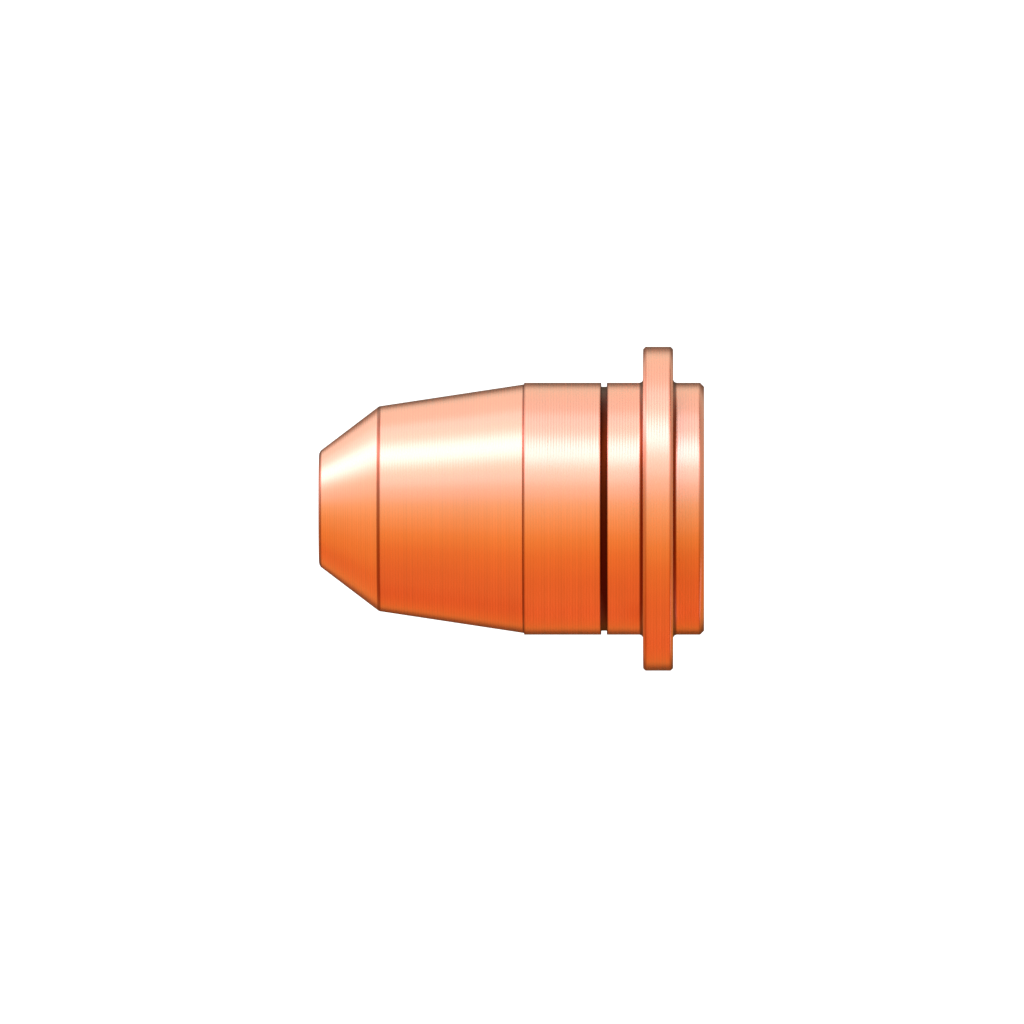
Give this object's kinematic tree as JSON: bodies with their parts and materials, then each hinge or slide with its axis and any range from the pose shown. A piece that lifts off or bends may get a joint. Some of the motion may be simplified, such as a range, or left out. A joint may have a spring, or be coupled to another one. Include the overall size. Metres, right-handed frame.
{
  "type": "plasma torch nozzle",
  "caption": "Turned copper nozzle for a plasma cutting torch: tapered body, clamping flange, open arc chamber behind and a fine orifice through the flat tip.",
  "frame": {"origin": "centre of the back face, which the nozzle stands on", "axes": "+Z along the axis from the back face to the tip; X and Y lie in the back face, and the part is round, so neither is special"},
  "size_m": [0.0162, 0.0162, 0.0192],
  "materials": {
    "copper": "satin"
  },
  "bodies": {
    "root": {"nozzle": "copper"}
  },
  "joints": []
}
